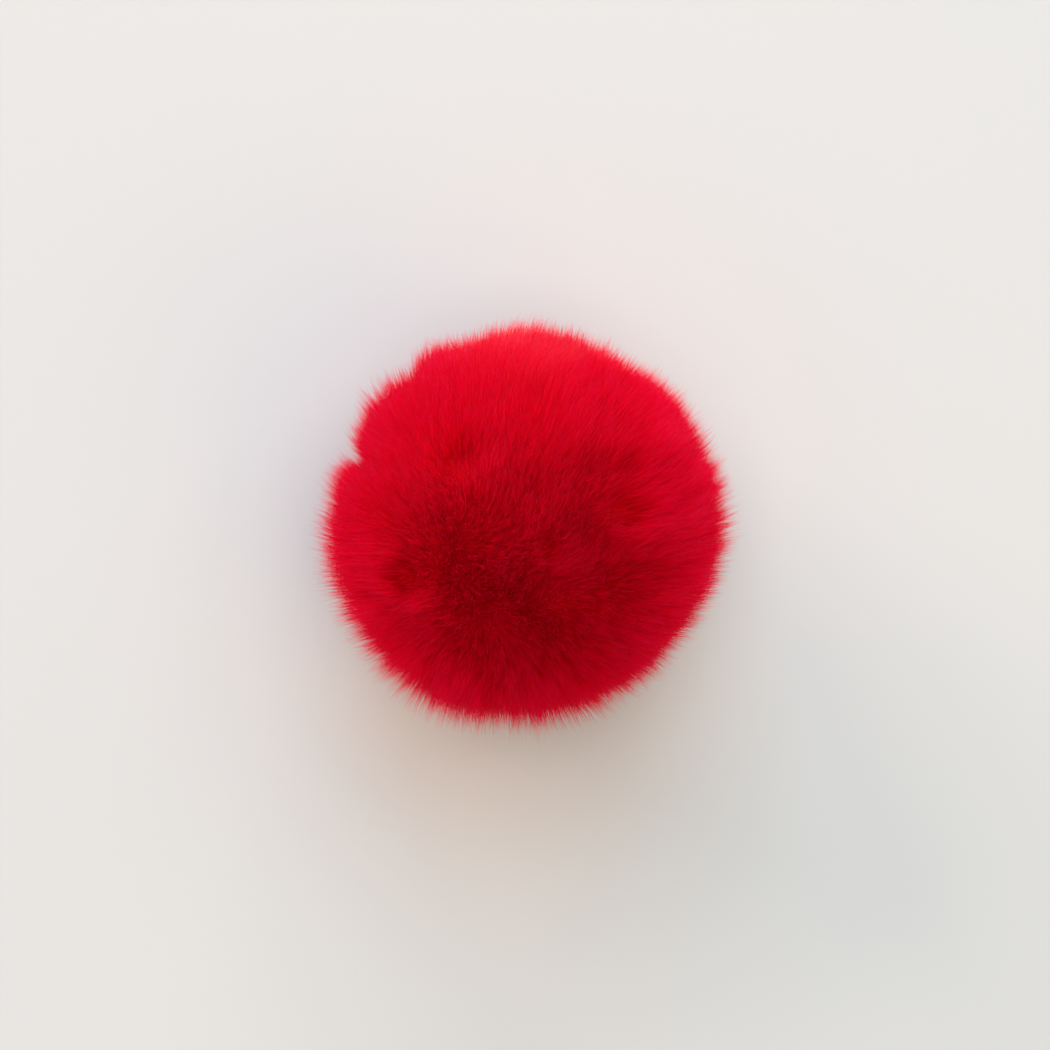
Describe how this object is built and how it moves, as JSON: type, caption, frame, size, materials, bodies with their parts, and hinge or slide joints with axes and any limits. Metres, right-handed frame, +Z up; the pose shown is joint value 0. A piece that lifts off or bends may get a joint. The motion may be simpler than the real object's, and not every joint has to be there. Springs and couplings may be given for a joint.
{
  "type": "pom pom",
  "caption": "Round faux-fur pom pom of fine red pile, combed a little to one side, resting on a small flat spot underneath.",
  "frame": {"origin": "on the surface that the ball rests on, in the middle of its flat spot", "axes": "+Z up, away from the surface; +Y towards the upper edge of the picture and +X towards its right edge, as the ball is seen from straight above"},
  "size_m": [0.082, 0.0818, 0.0773],
  "materials": {
    "fur": "dense fine pile of matt synthetic fur, bright red with darker partings and lighter, pinker tips"
  },
  "bodies": {
    "root": {"pompom": "fur"}
  },
  "joints": []
}
